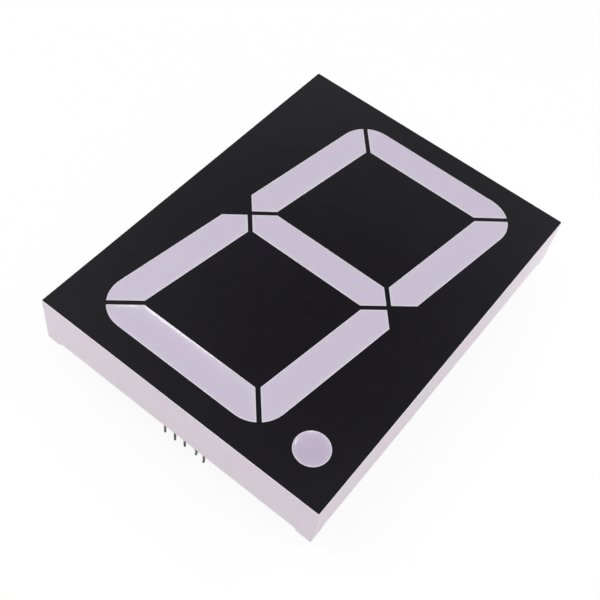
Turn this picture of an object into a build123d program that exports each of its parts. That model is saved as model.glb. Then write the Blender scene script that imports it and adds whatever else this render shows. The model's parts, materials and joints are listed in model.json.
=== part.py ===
"""Large single-digit seven-segment LED display with a decimal point.

The display lies face up. X runs across the digit, Y up the digit and Z out of its face. The origin is
the middle of the seating plane, on which the four corner feet stand on the user's circuit board. The
ten contact pins go on below that plane. All sizes are in millimetres.
"""

import os
from math import atan, cos, degrees, radians, tan

from build123d import *

# Digit, as seen on the face
digit_height = 76.2
digit_width = 42.2
slant = 8.0
stroke = 6.75
segment_gap = 1.0
digit_corner_radius = 6.9
digit_drop = 0.15
middle_bar_drop = 0.2
point_diameter = 7.1
point_gap = 4.75
point_rise = 3.8

# Housing
side_border = 6.55
end_border = 5.4
body_depth = 12.5
wall = 1.5
front_plate = 1.2
edge_radius = 0.25
front_chamfer = 0.12
foot_height = 0.8
foot_length = 3.3
foot_slope = 0.5

# Light wells, their rims through the mask, and the ribs between them
rim_width = 0.12
well_wall = 0.92
well_inset = 0.9
rib = 0.9
cross_ribs = 9
mitre_reach = 2.4

# Mask over the face
mask_thickness = 0.1
mask_margin = 0.03
mask_corner_radius = 0.35

# Cast diffusers: the resin sinks a little away from the rim
sink_depth = 0.08
sink_slope = 0.45

# Circuit board and the staked posts that hold it
board_thickness = 1.6
board_clearance = 0.2
board_recess = 1.0
post_diameter = 2.4
post_clearance = 0.1
boss_diameter = 4.4
rivet_diameter = 4.0
rivet_height = 0.75
rivet_crown_height = 0.35
rivet_crown_width = 0.6
side_post_rib = 3
middle_post_rib = 2

# Lamps on the board
lamp_length = 2.0
lamp_width = 1.25
lamp_base_height = 0.35
lamp_height = 0.8
lens_length = 1.4
lens_top_length = 1.2
lamps_per_bar = 4
lamp_pitch = 6.4
point_lamps = 2
point_lamp_pitch = 2.2

# Contact pins
pins_per_row = 5
pin_pitch = 2.54
tail_diameter = 0.5
tail_length = 11.0
tail_tip_chamfer = 0.1
shank_diameter = 0.85
shank_stand_off = 1.0
shank_rise = 0.3
hole_clearance = 0.05
solder_height = 0.75
solder_foot = 0.6
solder_lip = 0.06

# Worked out from the sizes above
half_height = digit_height / 2
half_width = digit_width / 2
shear = tan(radians(slant))
face_width = digit_width + digit_height * shear + 2 * side_border
face_height = digit_height + 2 * end_border
inner_width = face_width - 2 * wall
inner_height = face_height - 2 * wall
digit_y = -digit_drop
mask_back = body_depth - mask_thickness
mask_inset = front_chamfer + mask_margin
plate_back = mask_back - front_plate
board_back = foot_height + board_recess
board_front = board_back + board_thickness
well_depth = mask_back - board_front
cavity_depth = plate_back - board_front
tower_grow = well_wall - rim_width
well_draft = degrees(atan(well_inset / well_depth))
rib_pitch = inner_height / (cross_ribs + 1)
point_radius = point_diameter / 2
point_y = digit_y - half_height + point_rise
point_x = half_width + (point_y - digit_y) * shear + point_gap + point_radius
pin_row_inset = (wall + end_border - tower_grow + well_inset) / 2
pin_row_y = face_height / 2 - pin_row_inset
side_post_y = side_post_rib * rib_pitch
middle_post_y = middle_post_rib * rib_pitch
digit_edge = half_width + (side_post_y - digit_y) * shear + tower_grow / cos(radians(slant))
side_post_x = (digit_edge + inner_width / 2) / 2


def lean(y):
    """How far the slanted digit has moved to the right at this height."""
    return (y - digit_y) * shear


def slanted_box(half, low, high):
    """A face between two heights, whose sides lean with the digit."""
    corners = [
        (lean(low) - half, low),
        (lean(low) + half, low),
        (lean(high) + half, high),
        (lean(high) - half, high),
    ]
    return make_face(Polyline(*corners, close=True))


def digit_outline(grow):
    """The outer edge of the eight, grown by this much, with its four round corners."""
    half = half_width + grow / cos(radians(slant))
    outline = slanted_box(half, digit_y - half_height - grow, digit_y + half_height + grow)
    return fillet(outline.vertices(), digit_corner_radius + grow)


def loop_outlines(shrink):
    """The two dark fields inside the eight, made smaller by this much."""
    half = half_width - (stroke + shrink) / cos(radians(slant))
    middle = digit_y - middle_bar_drop
    top = digit_y + half_height - stroke - shrink
    bottom = digit_y - half_height + stroke + shrink
    upper = slanted_box(half, middle + stroke / 2 + shrink, top)
    lower = slanted_box(half, bottom, middle - stroke / 2 - shrink)
    return [upper, lower]


def mitre_cuts():
    """The dark gaps between the bars, and the notches at the two ends of the middle bar."""
    side = half_width - stroke / 2 / cos(radians(slant))
    bar = half_height - stroke / 2
    acute = (90 - slant) / 2
    reach = mitre_reach * stroke
    strip = Rectangle(reach, segment_gap)
    cuts = []
    for sign_x, sign_y in [(-1, 1), (1, 1), (-1, -1), (1, -1)]:
        y = digit_y + sign_y * bar
        angle = acute if sign_x == sign_y else acute + 90
        cuts.append(Pos(lean(y) + sign_x * side, y) * Rot(0, 0, angle) * strip)
    y = digit_y - middle_bar_drop
    for sign_x in [-1, 1]:
        joint = Pos(lean(y) + sign_x * side, y)
        for angle in [acute, acute + 90]:
            cuts.append(joint * Rot(0, 0, angle) * strip)
        first = Vector(reach / 2, 0).rotate(Axis.Z, acute) * sign_x
        second = Vector(-reach / 2, 0).rotate(Axis.Z, acute + 90) * sign_x
        notch = make_face(Polyline((0, 0), (first.X, first.Y), (second.X, second.Y), close=True))
        cuts.append(joint * notch)
    return cuts


def window_faces():
    """The eight windows of the mask, by name, at height zero."""
    eight = digit_outline(0)
    for cut in loop_outlines(0) + mitre_cuts():
        eight = eight - cut
    bottom, lower_left, lower_right, middle, upper_left, upper_right, top = eight.faces().sort_by(Axis.Y)
    if lower_left.center().X > lower_right.center().X:
        lower_left, lower_right = lower_right, lower_left
    if upper_left.center().X > upper_right.center().X:
        upper_left, upper_right = upper_right, upper_left
    point = Pos(point_x, point_y) * Circle(point_radius)
    return {
        "a": top,
        "b": upper_right,
        "c": lower_right,
        "d": bottom,
        "e": lower_left,
        "f": upper_left,
        "g": middle,
        "point": point.face(),
    }


def well(window):
    """The light well inside one window's rim: straight through the mask, then narrower down to the board."""
    opening = Pos(0, 0, mask_back) * offset(window, -rim_width, kind=Kind.INTERSECTION)
    return extrude(opening, amount=mask_thickness) + extrude(opening, amount=-well_depth, taper=well_draft)


def light_towers():
    """The solid block around all the wells: an eight that narrows towards the board, and a cone."""
    front = Pos(0, 0, plate_back)
    eight = extrude(front * digit_outline(tower_grow), amount=-cavity_depth, taper=well_draft)
    for loop in loop_outlines(tower_grow):
        eight = eight - extrude(front * loop, amount=-cavity_depth, taper=-well_draft)
    point = Pos(point_x, point_y) * Circle(point_radius + tower_grow)
    return eight + extrude(front * point, amount=-cavity_depth, taper=well_draft)


def post_places():
    """Where the six posts stand: four in the side gutters, two inside the loops of the eight."""
    sides = [(x, y) for x in (-side_post_x, side_post_x) for y in (-side_post_y, side_post_y)]
    loops = [(lean(y), y) for y in (-middle_post_y, middle_post_y)]
    return sides + loops


def pin_places():
    """Pins 1 to 5 run along the lower edge from the left, 6 to 10 along the upper edge from the right."""
    row = [(i - (pins_per_row - 1) / 2) * pin_pitch for i in range(pins_per_row)]
    return [(x, -pin_row_y) for x in row] + [(x, pin_row_y) for x in reversed(row)]


def ribs():
    """Cross ribs from wall to wall and one leaning rib through both loops, all as deep as the cavity."""
    box = Box(inner_width, rib, cavity_depth, align=(Align.CENTER, Align.CENTER, Align.MIN))
    rows = range(1, cross_ribs + 1)
    cross = [Pos(0, i * rib_pitch - inner_height / 2, board_front) * box for i in rows]
    length = half_height - stroke
    spine = slanted_box(rib / 2, digit_y - length, digit_y + length)
    return cross + [extrude(Pos(0, 0, board_front) * spine, amount=cavity_depth)]


def feet():
    """A rim between the seating plane and the walls, cut away so that only its four corners stay."""
    rim = Rectangle(face_width, face_height)
    rim = fillet(rim.vertices(), edge_radius) - Rectangle(inner_width, inner_height)
    corners = extrude(rim, amount=foot_height)
    for plane, length, across in [(Plane.XZ, face_width, face_height), (Plane.YZ, face_height, face_width)]:
        low = length / 2 - foot_length
        high = low - foot_slope
        profile = Polyline((-low, 0), (low, 0), (high, foot_height), (-high, foot_height), close=True)
        corners = corners - extrude(plane * make_face(profile), amount=across, both=True)
    return corners


def staked_post():
    """A post through the board, with the flat round head that hot staking leaves behind it."""
    shaft = extrude(Circle(post_diameter / 2), amount=board_thickness)
    head = extrude(Circle(rivet_diameter / 2), amount=-rivet_height)
    rim = head.faces().sort_by(Axis.Z)[0].edges()
    head = chamfer(rim, rivet_crown_width, rivet_crown_height, reference=head.faces().sort_by(Axis.Z)[0])
    return Pos(0, 0, board_back) * (shaft + head)


def make_housing(windows):
    outline = Rectangle(face_width, face_height)
    outline = fillet(outline.vertices(), edge_radius)
    body = extrude(Pos(0, 0, foot_height) * outline, amount=mask_back - foot_height)
    body = chamfer(body.faces().sort_by(Axis.Z)[-1].edges(), front_chamfer)
    cavity = Rectangle(inner_width, inner_height)
    body = body - extrude(Pos(0, 0, foot_height) * cavity, amount=plate_back - foot_height)
    body = body + light_towers()
    boss = extrude(Circle(boss_diameter / 2), amount=cavity_depth)
    bosses = [Pos(x, y, board_front) * boss for x, y in post_places()]
    rims = [extrude(Pos(0, 0, mask_back) * window, amount=mask_thickness) for window in windows.values()]
    body = body + ribs() + bosses + rims
    body = body - [well(window) for window in windows.values()]
    body = body + [Pos(x, y) * staked_post() for x, y in post_places()]
    return body + feet()


def make_mask(windows):
    outline = Rectangle(face_width - 2 * mask_inset, face_height - 2 * mask_inset)
    mask = fillet(outline.vertices(), mask_corner_radius)
    for window in windows.values():
        mask = mask - window
    return extrude(Pos(0, 0, mask_back) * mask, amount=mask_thickness)


def make_diffuser(window, lamps):
    """The resin fills the well, round the lamps, and its face sinks a little inside the rim."""
    dish = Pos(0, 0, body_depth) * offset(window, -rim_width, kind=Kind.INTERSECTION)
    slope = degrees(atan(sink_slope / sink_depth))
    return well(window) - extrude(dish, amount=-sink_depth, taper=slope) - lamps


def make_board():
    board = Rectangle(inner_width - 2 * board_clearance, inner_height - 2 * board_clearance)
    for x, y in pin_places():
        board = board - Pos(x, y) * Circle(shank_diameter / 2 + hole_clearance)
    for x, y in post_places():
        board = board - Pos(x, y) * Circle(post_diameter / 2 + post_clearance)
    return extrude(Pos(0, 0, board_back) * board, amount=board_thickness)


def lamp():
    """One surface-mount lamp, standing on the board: a flat base with a lens on its middle."""
    half = lamp_length / 2
    half_lens = lens_length / 2
    half_top = lens_top_length / 2
    side = Polyline(
        (-half, 0),
        (half, 0),
        (half, lamp_base_height),
        (half_lens, lamp_base_height),
        (half_top, lamp_height),
        (-half_top, lamp_height),
        (-half_lens, lamp_base_height),
        (-half, lamp_base_height),
        close=True,
    )
    return extrude(Plane.XZ * make_face(side), amount=lamp_width / 2, both=True)


def bar_centre(name):
    """The middle of a bar's centre line and the direction that the bar runs in."""
    side = half_width - stroke / 2 / cos(radians(slant))
    bar = half_height - stroke / 2
    middle = -middle_bar_drop
    heights = {"a": bar, "b": (bar + middle) / 2, "c": (middle - bar) / 2, "d": -bar, "g": middle}
    heights.update({"e": heights["c"], "f": heights["b"]})
    sides = {"a": 0, "b": side, "c": side, "d": 0, "e": -side, "f": -side, "g": 0}
    y = digit_y + heights[name]
    angle = 0 if name in "adg" else 90 - slant
    return Pos(lean(y) + sides[name], y, board_front) * Rot(0, 0, angle)


def make_lamps(name):
    """The lamps of one bar in a row along it, or those of the point side by side."""
    if name == "point":
        place = Pos(point_x, point_y, board_front)
        steps = [(0, (i - (point_lamps - 1) / 2) * point_lamp_pitch) for i in range(point_lamps)]
    else:
        place = bar_centre(name)
        steps = [((i - (lamps_per_bar - 1) / 2) * lamp_pitch, 0) for i in range(lamps_per_bar)]
    return [place * Pos(x, y) * lamp() for x, y in steps]


def make_pin():
    """A turned pin: a thick shank through the board and a thin tail behind it."""
    shank_top = board_front + shank_rise
    shank_end = board_back - shank_stand_off
    profile = Polyline(
        (0, shank_top),
        (shank_diameter / 2, shank_top),
        (shank_diameter / 2, shank_end),
        (tail_diameter / 2, shank_end),
        (tail_diameter / 2, tail_tip_chamfer - tail_length),
        (tail_diameter / 2 - tail_tip_chamfer, -tail_length),
        (0, -tail_length),
        close=True,
    )
    return revolve(Plane.XZ * make_face(profile), Axis.Z)


def make_solder_joint():
    """The cone of solder round a shank, on the board's back."""
    radius = shank_diameter / 2
    foot = (radius + solder_foot, board_back)
    lip = (radius + solder_lip, board_back - solder_height)
    flank = RadiusArc(foot, lip, solder_height)
    shank_side = Polyline(lip, (radius, board_back - solder_height), (radius, board_back), foot)
    return revolve(Plane.XZ * make_face([flank, shank_side]), Axis.Z)


def save(name, shape):
    export_step(shape, f"parts/{name}.step")


os.makedirs("parts", exist_ok=True)

windows = window_faces()
save("housing", make_housing(windows))
save("front_mask", make_mask(windows))
save("circuit_board", make_board())

for name, window in windows.items():
    lamps = make_lamps(name)
    save(f"diffuser_{name}", make_diffuser(window, lamps))
    save(f"leds_{name}", Compound(children=lamps))

pin = make_pin()
joint = make_solder_joint()
for number, (x, y) in enumerate(pin_places(), start=1):
    save(f"pin_{number}", Pos(x, y) * pin)
save("solder_joints", Compound(children=[Pos(x, y) * joint for x, y in pin_places()]))
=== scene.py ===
"""Looks of the seven-segment display: finishes, fine forms, stage, light and camera.

The frame is the CAD's. Lengths are in metres, except where a comment says millimetres.
"""

import json
import math

import bmesh
import bpy
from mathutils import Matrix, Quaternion, Vector
from mathutils.geometry import delaunay_2d_cdt


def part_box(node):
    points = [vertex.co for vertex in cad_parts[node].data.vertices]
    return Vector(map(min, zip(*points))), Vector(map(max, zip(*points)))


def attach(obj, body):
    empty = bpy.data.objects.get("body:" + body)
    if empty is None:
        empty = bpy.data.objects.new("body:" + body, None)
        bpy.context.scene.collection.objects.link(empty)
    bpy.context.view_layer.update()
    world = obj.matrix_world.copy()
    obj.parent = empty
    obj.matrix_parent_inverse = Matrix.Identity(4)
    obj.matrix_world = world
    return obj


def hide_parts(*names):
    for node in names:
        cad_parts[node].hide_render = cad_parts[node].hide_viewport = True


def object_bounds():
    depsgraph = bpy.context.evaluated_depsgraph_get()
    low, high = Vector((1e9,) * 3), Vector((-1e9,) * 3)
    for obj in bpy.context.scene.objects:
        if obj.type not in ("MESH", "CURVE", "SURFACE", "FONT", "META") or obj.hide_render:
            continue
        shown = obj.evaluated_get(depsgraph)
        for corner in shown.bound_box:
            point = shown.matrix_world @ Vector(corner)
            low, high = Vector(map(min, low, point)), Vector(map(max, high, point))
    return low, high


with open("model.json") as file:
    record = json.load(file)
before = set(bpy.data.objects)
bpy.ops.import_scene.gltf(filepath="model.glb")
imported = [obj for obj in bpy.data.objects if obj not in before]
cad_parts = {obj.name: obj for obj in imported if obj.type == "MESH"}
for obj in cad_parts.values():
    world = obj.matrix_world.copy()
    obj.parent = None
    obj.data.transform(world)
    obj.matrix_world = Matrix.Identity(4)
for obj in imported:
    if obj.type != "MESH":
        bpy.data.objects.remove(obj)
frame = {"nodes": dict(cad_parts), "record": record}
cad_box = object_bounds()
mm = 0.001
small = 0.01 * mm
nearly_parallel = 1e-6

# Sockets of a mix node for its colours, which share their names with other sockets
mix_first = 6
mix_second = 7
mix_result = 2

# What a triangulation returns: only the triangles inside its outline
triangles_inside = 1

# Levels taken from the frame
face_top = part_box("front_mask")[1].z
mask_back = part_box("front_mask")[0].z
board_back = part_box("circuit_board")[0].z

# The chamfer round the face: how far down its painted highlight runs, and how far down black ink covers
# it
painted_highlight_reach = 0.125 * mm
ink_width = 0.038 * mm

# Cast resin: how far its face lies below the rim, the share of that which it doesn't climb at the
# wall, how far in from the wall it climbs, and how far in the painted light of the white wall reaches
resin_sink = 0.05 * mm
dry_share = 0.15
meniscus_reach = 0.6 * mm
painted_light_reach = 0.35 * mm

# Rows of the climb: how far in from the rim each one lies, in millimetres
meniscus_steps = [0.08, 0.15, 0.24, 0.35, 0.48, 0.63, 0.8, 1.0, 1.25, 1.55, 1.9, 2.3]

# Mesh of the resin: its edges along the rim, its inner points and how far they keep from the rim,
# and the distances within which vertices are one
rim_step = 2.0 * mm
grid_step = 1.5 * mm
grid_clear = grid_step / 3
weld = small / 4
same_place = small / 100

# Where the resin has sunk further: its greatest depth, and the share of it that is lost to one side
bar_depth = 0.37 * mm
bar_loss = 0.65
point_depth = 0.6 * mm
point_loss = 0.68

# Contact pins
pin_numbers = range(1, 11)
pin_sides = 20
tail_radius = 0.25 * mm
tail_round = 0.12 * mm
tail_round_steps = 4
tail_steps = 36
shank_end = 0.8 * mm
shank_round = 0.08 * mm
shank_round_steps = 3
drawn_grain = (1, 1, 0.1)

# How handling has left the pins, in millimetres: knocked aside at the tip, bulging (how far, at what
# height and how widely), and cut short
knock_way = Vector((0.76, 0.65))
pin_drift = {1: -0.04, 2: 0.05, 3: 0.09, 4: 0.36, 5: -0.1, 7: 0.05, 9: -0.04}
pin_bulge = {4: (0.2, -9.6, 1.0), 5: (0.12, -9.8, 1.0)}
pin_short = {1: 0.25, 3: 0.5, 4: 0.08, 5: 0.05}

# Solder joints: their cones, and how unevenly each has run round its pin
joint_sides = 36
joint_steps = 10
joint_height = 0.75 * mm
joint_foot = 0.6 * mm
joint_lip = 0.06 * mm
joint_hollow = 2.2
joint_overlap = 0.98
foot_run = 0.05
flank_run = 0.02
run_turn = 1.7

# Copper on the board's back
copper = 0.035 * mm
track_width = 0.5 * mm
pad_radius = 1.12 * mm
pad_sides = 28
via_radius = 0.45 * mm
via_hole = 0.2 * mm
via_height = 1.4 * copper
via_sides = 20

# Tracks of pins 1 to 10, in millimetres: how far each runs straight, and the plated hole where it ends
track_routes = [
    (2.6, -22, -16),
    (4.6, -15, -20),
    (9.5, -7, -22),
    (5.2, 12, -20),
    (3.0, 20, -15),
    (2.6, 25, 15),
    (4.8, 17, 21),
    (8.5, 6, 24),
    (5.6, -9, 19),
    (3.2, -18, 14),
]

# Colours; those in pairs alternate in soft patches
housing_tones = ((0.806, 0.694, 0.783), (0.781, 0.71, 0.778))
housing_fleck = (0.816, 0.725, 0.808)
# Painted highlight: the chamfer's whiter colour stands in for light caught along the face's edge
chamfer_painted_highlight = (0.87, 0.82, 0.86)
rim_white = (0.76, 0.71, 0.775)
ink_black = (0.0045, 0.0035, 0.0065)
mask_tones = ((0.0040, 0.0030, 0.0061), (0.0048, 0.0038, 0.0069))
resin_tones = ((0.598, 0.53, 0.654), (0.582, 0.536, 0.648))
point_tones = ((0.52, 0.437, 0.577), (0.51, 0.443, 0.573))
# Painted light: resin whitened near the wall, standing in for the white wall's light shining through it
painted_light_white = (0.70, 0.655, 0.745)
board_tones = ((0.018, 0.14, 0.055), (0.024, 0.17, 0.07))
track_tones = ((0.03, 0.24, 0.10), (0.04, 0.28, 0.12))
lamp_tones = ((0.62, 0.58, 0.44), (0.68, 0.66, 0.56))
# Pins: tin painted dark, a painted shade standing in for the shade under the body
pin_painted_shade_tones = ((0.065, 0.064, 0.067), (0.125, 0.123, 0.128))
solder_tones = ((0.5, 0.5, 0.51), (0.64, 0.64, 0.65))

# Floor: half its width, its paper as the camera sees it and as it lights the part, and how much glows
floor_half = 1.5
paper_seen = (0.95, 0.95, 0.95)
paper_lighting = (0.72, 0.72, 0.72)
paper_glow = 0.9

# The studio is dark where the black face mirrors it to the camera. The dark fades in while the
# cosine of the angle from its middle runs through a range.
dark_way = (-0.231, 0.498, 0.836)
dark_range = (0.96, 1.0)
studio_light = 0.54
dark_light = 0.02

# Lamps: place, target, size and power
studio_lamps = {
    "key": ((-0.29, -0.34, 0.72), (0, 0, 0), 0.33, 2.1),
    "top": ((0.14, -0.17, 0.82), (0, 0, 0), 0.25, 1.0),
    "rear": ((0.36, 0.36, 0.68), (0, 0, 0), 0.25, 1.0),
    "fill": ((0.6, -0.1, 0.4), (0, 0, 0), 0.5, 0.55),
    "right_card": ((0.056, 0.057, 0.004), (0.033, 0.0435, 0.002), 0.012, 0.0018),
    "left_card": ((-0.038, -0.068, 0.004), (-0.033, -0.0435, 0.002), 0.012, 0.0004),
}

# Camera, fitted to the corners and windows in the photograph
camera_place = Vector((0.0564791, -0.106348, 0.1659255))
camera_aim = Vector((0.0034299, -0.0106414, 0.0125))
camera_roll = math.radians(10.7348)
camera_lens = 58.1162
camera_near = 0.01
camera_far = 10
sensor_width = 36.0


def link(obj):
    bpy.context.scene.collection.objects.link(obj)
    return obj


# Materials


class Nodes:
    """Adds shader nodes to one material and joins them."""

    def __init__(self, name):
        self.material = bpy.data.materials.new(name)
        self.material.use_nodes = True
        self.tree = self.material.node_tree
        self.shader = self.tree.nodes["Principled BSDF"]
        self.place = self.add("ShaderNodeTexCoord").outputs["Object"]

    def add(self, kind, **values):
        node = self.tree.nodes.new(kind)
        for key, value in values.items():
            if hasattr(node, key):
                setattr(node, key, value)
            else:
                node.inputs[key.replace("_", " ")].default_value = value
        return node

    def join(self, output, socket):
        self.tree.links.new(output, socket)

    def noise(self, size, detail=2.0, stretch=None):
        """Noise whose features are about this large."""
        node = self.add("ShaderNodeTexNoise", Scale=1 / size, Detail=detail)
        place = self.place
        if stretch:
            mapping = self.add("ShaderNodeMapping", Scale=stretch)
            self.join(place, mapping.inputs["Vector"])
            place = mapping.outputs["Vector"]
        self.join(place, node.inputs["Vector"])
        return node.outputs["Fac"]

    def spread(self, source, low, high, start=0.35, end=0.65):
        """The source's range from start to end, stretched to run from low to high."""
        node = self.add("ShaderNodeMapRange")
        node.inputs["From Min"].default_value = start
        node.inputs["From Max"].default_value = end
        node.inputs["To Min"].default_value = low
        node.inputs["To Max"].default_value = high
        self.join(source, node.inputs["Value"])
        return node.outputs["Result"]

    def above(self, height):
        """One above this height and zero below it."""
        split = self.add("ShaderNodeSeparateXYZ")
        self.join(self.place, split.inputs[0])
        node = self.add("ShaderNodeMath", operation="GREATER_THAN")
        self.join(split.outputs["Z"], node.inputs[0])
        node.inputs[1].default_value = height
        return node.outputs[0]

    def blend(self, factor, first, second):
        """A colour between two, by a factor; each colour is a value or another node's output."""
        node = self.add("ShaderNodeMix", data_type="RGBA")
        self.join(factor, node.inputs["Factor"])
        for socket, colour in ((node.inputs[mix_first], first), (node.inputs[mix_second], second)):
            if isinstance(colour, tuple):
                socket.default_value = (*colour, 1)
            else:
                self.join(colour, socket)
        return node.outputs[mix_result]

    def mottle(self, size, tones, detail=2.0, stretch=None):
        """Two colours that alternate in soft patches about this large."""
        return self.blend(self.spread(self.noise(size, detail, stretch), 0, 1), *tones)

    def bump(self, height, depth, under=None):
        """Relief of this depth, on top of another relief if there is one."""
        node = self.add("ShaderNodeBump", Strength=1.0, Distance=depth)
        self.join(height, node.inputs["Height"])
        if under:
            self.join(under, node.inputs["Normal"])
        return node.outputs["Normal"]

    def set(self, **values):
        for key, value in values.items():
            self.shader.inputs[key.replace("_", " ")].default_value = value

    def feed(self, **outputs):
        for key, output in outputs.items():
            self.join(output, self.shader.inputs[key.replace("_", " ")])


def housing_finish():
    """Satin moulded plastic with a painted highlight that whitens the chamfer, ink over its upper part,
    and plain white rims.
    """
    n = Nodes("housing_white")
    tone = n.mottle(7 * mm, housing_tones)
    tone = n.blend(n.spread(n.noise(1.2 * mm, 3), 0, 0.5), tone, housing_fleck)
    # Painted highlight: the chamfer turns whiter
    tone = n.blend(n.above(mask_back - painted_highlight_reach), tone, chamfer_painted_highlight)
    tone = n.blend(n.above(mask_back - ink_width), tone, ink_black)
    tone = n.blend(n.above(mask_back + small / 4), tone, rim_white)
    relief = n.bump(n.noise(0.12 * mm, 3), 0.012 * mm)
    relief = n.bump(n.noise(4 * mm, 1), 0.02 * mm, under=relief)
    n.feed(Base_Color=tone, Roughness=n.spread(n.noise(0.6 * mm, 3), 0.42, 0.54), Normal=relief)
    n.set(IOR=1.5, Specular_IOR_Level=0.4)
    return n.material


def mask_finish():
    n = Nodes("mask_black")
    tone = n.mottle(7 * mm, mask_tones)
    relief = n.bump(n.noise(0.2 * mm, 2), 0.0012 * mm)
    n.feed(Base_Color=tone, Roughness=n.spread(n.noise(0.5 * mm, 3), 0.235, 0.265), Normal=relief)
    n.set(IOR=1.5, Specular_IOR_Level=0.4)
    return n.material


def resin_finish(name, tones):
    """Milky resin with painted light: whiter near the wall, standing in for the housing's white wall
    shining through it.
    """
    n = Nodes(name)
    tone = n.mottle(6 * mm, tones)
    # Painted light near the wall, read from the mesh's layer
    painted_light_share = n.add("ShaderNodeAttribute", attribute_name="painted_light_share").outputs["Fac"]
    tone = n.blend(n.spread(painted_light_share, 0, 0.5, 0, 1), tone, painted_light_white)
    relief = n.bump(n.noise(2 * mm, 2), 0.004 * mm)
    n.feed(Base_Color=tone, Roughness=n.spread(n.noise(0.9 * mm, 2), 0.16, 0.22), Normal=relief)
    n.set(IOR=1.5, Specular_IOR_Level=0.9)
    n.set(Subsurface_Weight=0.25, Subsurface_Scale=1 * mm, Subsurface_Radius=(1.0, 0.85, 1.0))
    return n.material


def lacquer_finish(name, tones, grain, low, high):
    """Green solder mask, with a relief of this grain and a roughness from low to high."""
    n = Nodes(name)
    tone = n.mottle(1.2 * mm, tones)
    relief = n.bump(n.noise(grain, 2), 0.01 * mm)
    n.feed(Base_Color=tone, Roughness=n.spread(n.noise(2 * mm, 2), low, high), Normal=relief)
    return n.material


def lamp_finish():
    n = Nodes("lamp_body")
    tone = n.mottle(0.7 * mm, lamp_tones)
    n.feed(Base_Color=tone, Roughness=n.spread(n.noise(0.3 * mm), 0.25, 0.35))
    return n.material


def metal_finish(name, tones, low, high, depth, stretch=None):
    """Dull metal, its grain stretched where it was drawn."""
    n = Nodes(name)
    tone = n.mottle(0.6 * mm, tones, 3, stretch)
    relief = n.bump(n.noise(0.12 * mm, 3, stretch), depth)
    n.feed(Base_Color=tone, Roughness=n.spread(n.noise(0.4 * mm, 2), low, high), Normal=relief)
    n.set(Metallic=1.0)
    return n.material


finishes = {
    "housing_white": housing_finish(),
    "mask_black": mask_finish(),
    "diffuser_resin": resin_finish("diffuser_resin", resin_tones),
    "board_laminate": lacquer_finish("board_laminate", board_tones, 0.8 * mm, 0.28, 0.38),
    "lamp_body": lamp_finish(),
    # The pins' tin is painted dark: painted shade from the body above them
    "tinned_pin": metal_finish("tinned_pin", pin_painted_shade_tones, 0.35, 0.5, 0.008 * mm, drawn_grain),
    "solder": metal_finish("solder", solder_tones, 0.2, 0.36, 0.01 * mm),
}
for part in frame["record"]["subparts"]:
    node = frame["nodes"][part["node"]]
    node.data.materials.clear()
    node.data.materials.append(finishes[part["material_slot"]])


# Pieces


def add_piece(name, bm, slot, node=None, material=None, sharp=30):
    """Turns a bmesh into a smooth-shaded piece on the root body."""
    bmesh.ops.recalc_face_normals(bm, faces=bm.faces)
    mesh = bpy.data.meshes.new(name)
    bm.to_mesh(mesh)
    bm.free()
    mesh.polygons.foreach_set("use_smooth", [True] * len(mesh.polygons))
    mesh.set_sharp_from_angle(angle=math.radians(sharp))
    mesh.materials.append(material or finishes[slot])
    piece = link(bpy.data.objects.new(name, mesh))
    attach(piece, "root")
    if node:
        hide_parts(node)


def open_loop(bm):
    """The vertices round a mesh's one opening, in order, with the opening on their left from above."""
    edges = [e for e in bm.edges if e.is_boundary]
    loop = [edges[0].verts[0], edges[0].verts[1]]
    used = {edges[0]}
    while len(used) < len(edges):
        step = next(e for e in loop[-1].link_edges if e.is_boundary and e not in used)
        used.add(step)
        loop.append(step.other_vert(loop[-1]))
    loop.pop()
    area = sum(a.co.x * b.co.y - b.co.x * a.co.y for a, b in zip(loop, loop[1:] + loop[:1]))
    return loop if area > 0 else loop[::-1]


def crossing(first, second, distance):
    """Where two sides of an outline meet once both have moved in by this distance."""
    (a, along_a), (b, along_b) = first, second
    normal_a = Vector((-along_a.y, along_a.x))
    normal_b = Vector((-along_b.y, along_b.x))
    turn = along_a.cross(along_b)
    gap = b + normal_b * distance - a - normal_a * distance
    if abs(turn) < nearly_parallel:
        return b + normal_b * distance
    return a + normal_a * distance + along_a * (gap.cross(along_b) / turn)


def inset(points, distance):
    """A closed outline moved in by this distance. Sides that vanish leave their corners at one place."""
    count = len(points)
    sides = [(points[i], (points[(i + 1) % count] - points[i]).normalized()) for i in range(count)]
    kept = list(range(count))
    while True:
        starts = {}
        for k, side in enumerate(kept):
            starts[side] = crossing(sides[kept[k - 1]], sides[side], distance).freeze()
        lengths = []
        for k, side in enumerate(kept):
            after = kept[(k + 1) % len(kept)]
            lengths.append(((starts[after] - starts[side]).dot(sides[side][1]), side))
        shortest, side = min(lengths)
        if shortest > 0:
            break
        kept.remove(side)
    moved = []
    for i in range(count):
        while i not in starts:
            i = (i + 1) % count
        moved.append(starts[i])
    return moved


def well_slope():
    """How far a well's wall comes in for each unit of depth, read from the round well."""
    low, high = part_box("diffuser_point")
    vertices = frame["nodes"]["diffuser_point"].data.vertices
    foot = [v.co.x for v in vertices if v.co.z < low.z + small]
    return (high.x - low.x - max(foot) + min(foot)) / 2 / (mask_back - low.z)


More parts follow.
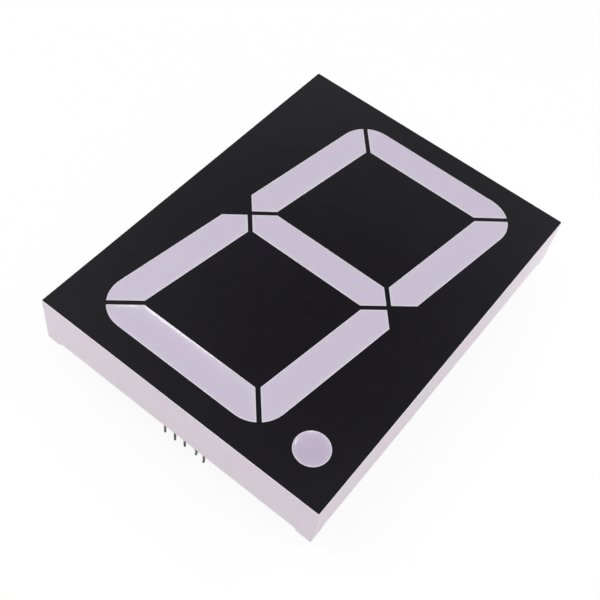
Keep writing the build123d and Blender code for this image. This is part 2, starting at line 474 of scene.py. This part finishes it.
def fill_middle(bm, ring, level):
    """Closes a ring with even triangles, with grid points inside it at the level that a place has."""
    outline = [Vector((v.co.x, v.co.y)) for v in ring]
    count = len(outline)
    low_x, high_x = min(p.x for p in outline), max(p.x for p in outline)
    low_y, high_y = min(p.y for p in outline), max(p.y for p in outline)
    points = list(outline)
    for i in range(1, int((high_x - low_x) / grid_step) + 1):
        for j in range(1, int((high_y - low_y) / grid_step) + 1):
            place = Vector((low_x + i * grid_step, low_y + j * grid_step))
            clear = []
            for k, corner in enumerate(outline):
                along = (outline[(k + 1) % count] - corner).normalized()
                clear.append(along.cross(place - corner))
            if min(clear) > grid_clear:
                points.append(place)
    sides = [(k, (k + 1) % count) for k in range(count)]
    places, _, faces, origins, _, _ = delaunay_2d_cdt(points, sides, [], triangles_inside, same_place)
    corners = []
    for place, origin in zip(places, origins):
        on_ring = [k for k in origin if k < count]
        if on_ring:
            corners.append(ring[on_ring[0]])
        else:
            corners.append(bm.verts.new((place.x, place.y, level(place))))
    for face in faces:
        bm.faces.new([corners[k] for k in face])


def open_well(name):
    """A diffuser's mesh without its face, its rim cut into short edges, and its layer for the painted
    light near the wall.
    """
    bm = bmesh.new()
    bm.from_mesh(frame["nodes"][f"diffuser_{name}"].data)
    painted_light_layer = bm.verts.layers.float.new("painted_light_share")
    bmesh.ops.remove_doubles(bm, verts=bm.verts, dist=weld)
    cap = [v for v in bm.verts if v.co.z > mask_back + small]
    bmesh.ops.delete(bm, geom=cap, context="VERTS")
    for edge in [e for e in bm.edges if e.is_boundary]:
        cuts = int(edge.calc_length() / rim_step)
        if cuts:
            bmesh.ops.subdivide_edges(bm, edges=[edge], cuts=cuts)
    return bm, painted_light_layer


def level_face(x, y):
    return 0


def bar_hollow(x, y):
    """Deepest at the far side and the left end."""
    return bar_depth * y * (2 - y) * (1 - bar_loss * x)


def point_hollow(x, y):
    """Deepest at the left and near side."""
    return point_depth * (1 - x) * (1 - point_loss * y)


def make_resin(name, hollow=level_face, finish=None):
    """The resin of one well. Its face is sunk, lower still in a hollow, and creeps up along the wall.

    The hollow's depth depends on a place's shares of the well's width and height.
    """
    bm, painted_light_layer = open_well(name)
    rim = open_loop(bm)
    outline = [Vector((v.co.x, v.co.y)) for v in rim]
    middle = sum(outline, Vector((0, 0))) / len(outline)
    low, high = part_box(f"diffuser_{name}")

    def sink(point):
        x = (point.x - low.x) / (high.x - low.x)
        y = (point.y - low.y) / (high.y - low.y)
        return resin_sink + hollow(x, y)

    slope = well_slope()
    for vertex, point in zip(rim, outline):
        top = face_top - sink(point) * dry_share
        shift = max(0, mask_back - top) * slope
        place = point + (middle - point).normalized() * shift
        vertex.co = (place.x, place.y, top)
        # Painted light of the white wall: full at the rim
        vertex[painted_light_layer] = 1
    ring = rim
    for step in meniscus_steps:
        climb = (1 - dry_share) * math.exp(-step * mm / meniscus_reach)
        inner = []
        met = {}
        for place in inset(outline, step * mm):
            key = tuple(place)
            if key not in met:
                met[key] = bm.verts.new((place.x, place.y, face_top - sink(place) * (1 - climb)))
                # Painted light fading inward from the wall
                met[key][painted_light_layer] = math.exp(-step * mm / painted_light_reach)
            inner.append(met[key])
        count = len(ring)
        for i in range(count):
            j = (i + 1) % count
            corners = list(dict.fromkeys((ring[i], ring[j], inner[j], inner[i])))
            if len(corners) > 2:
                bm.faces.new(corners)
        ring = inner
    fill_middle(bm, list(dict.fromkeys(ring)), lambda place: face_top - sink(place) * (1 - climb))
    add_piece(f"resin_{name}", bm, "diffuser_resin", node=f"diffuser_{name}", material=finish)


def turned(bm, profile, sides, centre, swell=lambda turn, share: 1):
    """The rings of a turned shape, from (radius, height) points; a radius of zero closes an end."""
    rings = []
    for row, (radius, z) in enumerate(profile):
        x, y = centre(z)
        if radius == 0:
            rings.append([bm.verts.new((x, y, z))])
            continue
        ring = []
        for i in range(sides):
            turn = 2 * math.pi * i / sides
            r = radius * swell(turn, row / (len(profile) - 1))
            ring.append(bm.verts.new((x + r * math.cos(turn), y + r * math.sin(turn), z)))
        rings.append(ring)
    return rings


def skin(bm, rings, closed=False):
    """Faces between neighbouring rings, and between the last and the first where closed."""
    pairs = list(zip(rings, rings[1:]))
    if closed:
        pairs.append((rings[-1], rings[0]))
    for first, second in pairs:
        count = max(len(first), len(second))
        for i in range(count):
            j = (i + 1) % count
            corners = [
                first[i % len(first)],
                first[j % len(first)],
                second[j % len(second)],
                second[i % len(second)],
            ]
            bm.faces.new(list(dict.fromkeys(corners)))


def quarter_round(radius, z, size, count, sign):
    """Points round a turned corner: from the side at z + sign * size to the end face at z."""
    points = []
    for i in range(count + 1):
        angle = math.pi / 2 * i / count
        points.append((radius - size + size * math.cos(angle), z + sign * size * (1 - math.sin(angle))))
    return points


def pin_line(number, x, y):
    """A pin's centre line: where it is at a height."""
    drift = pin_drift.get(number, 0)
    bulge, middle, width = pin_bulge.get(number, (0, 0, 1))

    def centre(z):
        share = max(0, z / cad_box[0].z)
        aside = drift * share ** 2 + bulge * math.exp(-(((z / mm) - middle) / width) ** 2)
        return x + aside * knock_way.x * mm, y + aside * knock_way.y * mm

    return centre


def make_pin(number):
    """A round tail with a rounded tip below a thicker shank, on a centre line that may be bent."""
    low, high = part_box(f"pin_{number}")
    x, y = (low.x + high.x) / 2, (low.y + high.y) / 2
    radius = (high.x - low.x) / 2
    tip = low.z + pin_short.get(number, 0) * mm
    stretch = shank_end - tip - tail_round
    profile = [(0, high.z)]
    profile += reversed(quarter_round(radius, high.z, shank_round, shank_round_steps, -1))
    profile += quarter_round(radius, shank_end, shank_round, shank_round_steps, 1)
    profile += [(tail_radius, shank_end - stretch * i / tail_steps) for i in range(tail_steps)]
    profile += quarter_round(tail_radius, tip, tail_round, tail_round_steps, 1)
    profile.append((0, tip))
    bm = bmesh.new()
    skin(bm, turned(bm, profile, pin_sides, pin_line(number, x, y)))
    add_piece(f"contact_{number}", bm, "tinned_pin", node=f"pin_{number}", sharp=50)


def pin_places():
    """Each pin's place and the radius of its shank."""
    places = []
    for number in pin_numbers:
        low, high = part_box(f"pin_{number}")
        places.append(((low.x + high.x) / 2, (low.y + high.y) / 2, (high.x - low.x) / 2))
    return places


def make_solder():
    """A hollow-flanked cone round each shank, each a little different where the solder ran."""
    bm = bmesh.new()
    bottom = board_back - joint_height
    for number, (x, y, shank) in enumerate(pin_places(), start=1):
        def swell(turn, share, phase=run_turn * number):
            foot = foot_run * (1 + math.sin(2 * turn + phase)) * (1 - share)
            return 1 - foot - flank_run * (1 + math.sin(3 * turn - phase))

        def centre(z, place=(x, y)):
            return place

        profile = []
        for i in range(joint_steps + 1):
            share = i / joint_steps
            fall = (1 - share) ** joint_hollow
            radius = shank + joint_lip + (joint_foot - joint_lip) * fall
            profile.append((radius, board_back - joint_height * share))
        bore = shank * joint_overlap
        flank = turned(bm, profile, joint_sides, centre, swell)
        inner = turned(bm, [(bore, bottom), (bore, board_back)], joint_sides, centre)
        skin(bm, flank + inner, closed=True)
    add_piece("solder_cones", bm, "solder", node="solder_joints", sharp=40)


def ring_plate(bm, x, y, outer, inner, low, high, sides):
    """A flat round washer between two heights, with a softened lower edge."""
    soft = min(copper, high - low) / 2
    outside = [(outer, high), (outer, low + soft), (outer - soft, low)]
    inside = [(inner + soft, low), (inner, low + soft), (inner, high)]
    skin(bm, turned(bm, outside + inside, sides, lambda z: (x, y)), closed=True)


def make_pads():
    """Tinned rings round the pins, on the board's back."""
    bm = bmesh.new()
    for x, y, shank in pin_places():
        ring_plate(bm, x, y, pad_radius, shank, board_back - copper, board_back, pad_sides)
    add_piece("solder_pads", bm, "solder")


def strip(bm, points, width, low, high):
    """A flat track along a line of points, as one closed solid with mitred corners."""
    rings = []
    for i, point in enumerate(points):
        before = (point - points[i - 1]).normalized() if i else (points[1] - point).normalized()
        after = (points[i + 1] - point).normalized() if i < len(points) - 1 else before
        first = Vector((-before.y, before.x))
        second = Vector((-after.y, after.x))
        across = (first + second) / (1 + first.dot(second)) * width / 2
        left = point + across
        right = point - across
        soft = (left - right).normalized() * min(width, high - low) / 2
        corners = [(left, high), (right, high), (right + soft, low), (left - soft, low)]
        rings.append([bm.verts.new((p.x, p.y, z)) for p, z in corners])
    skin(bm, rings)
    bm.faces.new(rings[0])
    bm.faces.new(rings[-1])


def make_tracks():
    """Lacquered copper from each pin to its bar, with a plated hole at the end, on the board's back."""
    bm = bmesh.new()
    for (x, y, _), (leave, end_x, end_y) in zip(pin_places(), track_routes):
        out = -1 if y > 0 else 1
        first = Vector((x, y + out * leave * mm))
        end = Vector((end_x, end_y)) * mm
        second = Vector((end.x, first.y + out * abs(end.x - x)))
        strip(bm, [Vector((x, y)), first, second, end], track_width, board_back - copper, board_back)
        ring_plate(bm, end.x, end.y, via_radius, via_hole, board_back - via_height, board_back, via_sides)
    lacquer = lacquer_finish("track_lacquer", track_tones, 0.4 * mm, 0.25, 0.35)
    add_piece("board_tracks", bm, "board_laminate", material=lacquer)


for name in "abcefg":
    make_resin(name)
make_resin("d", bar_hollow)
make_resin("point", point_hollow, resin_finish("point_resin", point_tones))
for number in pin_numbers:
    make_pin(number)
make_solder()
make_pads()
make_tracks()


# Stage, light and camera


def make_floor():
    """White paper that keeps the part's shadow: most of it glows where the camera or a mirror sees it."""
    low = cad_box[0].z
    mesh = bpy.data.meshes.new("floor")
    signs = [(-1, -1), (1, -1), (1, 1), (-1, 1)]
    mesh.from_pydata([(x * floor_half, y * floor_half, low) for x, y in signs], [], [(0, 1, 2, 3)])
    floor = link(bpy.data.objects.new("floor", mesh))
    n = Nodes("floor_paper")
    n.set(Roughness=0.9, Specular_IOR_Level=0.1)
    lit = n.add("ShaderNodeEmission", Color=(1, 1, 1, 1), Strength=1.0)
    rays = n.add("ShaderNodeLightPath")
    n.feed(Base_Color=n.blend(rays.outputs["Is Camera Ray"], paper_lighting, paper_seen))
    seen = n.add("ShaderNodeMath", operation="MAXIMUM")
    n.join(rays.outputs["Is Camera Ray"], seen.inputs[0])
    n.join(rays.outputs["Is Glossy Ray"], seen.inputs[1])
    share = n.add("ShaderNodeMath", operation="MULTIPLY")
    n.join(seen.outputs[0], share.inputs[0])
    share.inputs[1].default_value = paper_glow
    mix = n.add("ShaderNodeMixShader")
    n.join(share.outputs[0], mix.inputs[0])
    n.join(n.shader.outputs[0], mix.inputs[1])
    n.join(lit.outputs[0], mix.inputs[2])
    n.join(mix.outputs[0], n.tree.nodes["Material Output"].inputs["Surface"])
    mesh.materials.append(n.material)


def make_world():
    """An even soft studio with its dark part. The camera itself sees plain white."""
    world = bpy.data.worlds.new("studio")
    world.use_nodes = True
    tree = world.node_tree
    tree.nodes.clear()
    out = tree.nodes.new("ShaderNodeOutputWorld")
    soft = tree.nodes.new("ShaderNodeBackground")
    way = tree.nodes.new("ShaderNodeTexCoord")
    toward = tree.nodes.new("ShaderNodeVectorMath")
    toward.operation = "DOT_PRODUCT"
    toward.inputs[1].default_value = dark_way
    tree.links.new(way.outputs["Generated"], toward.inputs[0])
    fall = tree.nodes.new("ShaderNodeMapRange")
    fall.inputs["From Min"].default_value = dark_range[0]
    fall.inputs["From Max"].default_value = dark_range[1]
    fall.inputs["To Min"].default_value = studio_light
    fall.inputs["To Max"].default_value = dark_light
    tree.links.new(toward.outputs["Value"], fall.inputs["Value"])
    tree.links.new(fall.outputs["Result"], soft.inputs["Strength"])
    white = tree.nodes.new("ShaderNodeBackground")
    white.inputs["Strength"].default_value = 1.0
    rays = tree.nodes.new("ShaderNodeLightPath")
    mix = tree.nodes.new("ShaderNodeMixShader")
    tree.links.new(rays.outputs["Is Camera Ray"], mix.inputs[0])
    tree.links.new(soft.outputs[0], mix.inputs[1])
    tree.links.new(white.outputs[0], mix.inputs[2])
    tree.links.new(mix.outputs[0], out.inputs["Surface"])
    for background in (soft, white):
        background.inputs["Color"].default_value = (1, 1, 1, 1)
    bpy.context.scene.world = world


def make_lamp(name, place, target, size, power):
    light = bpy.data.lights.new(name, "AREA")
    light.shape = "SQUARE"
    light.size = size
    light.energy = power
    lamp = link(bpy.data.objects.new(name, light))
    lamp.location = place
    lamp.visible_camera = False
    lamp.rotation_euler = (Vector(target) - Vector(place)).to_track_quat("-Z", "Y").to_euler()


def make_camera():
    data = bpy.data.cameras.new("camera")
    data.sensor_width = sensor_width
    data.lens = camera_lens
    data.clip_start = camera_near
    data.clip_end = camera_far
    camera = link(bpy.data.objects.new("camera", data))
    camera.rotation_mode = "QUATERNION"
    camera.location = camera_place
    turn = (camera_aim - camera_place).to_track_quat("-Z", "Y")
    camera.rotation_quaternion = turn @ Quaternion((0, 0, 1), camera_roll)
    bpy.context.scene.camera = camera


make_floor()
make_world()
for name, (place, target, size, power) in studio_lamps.items():
    make_lamp(name, place, target, size, power)
make_camera()
bpy.context.scene.view_settings.view_transform = "Standard"
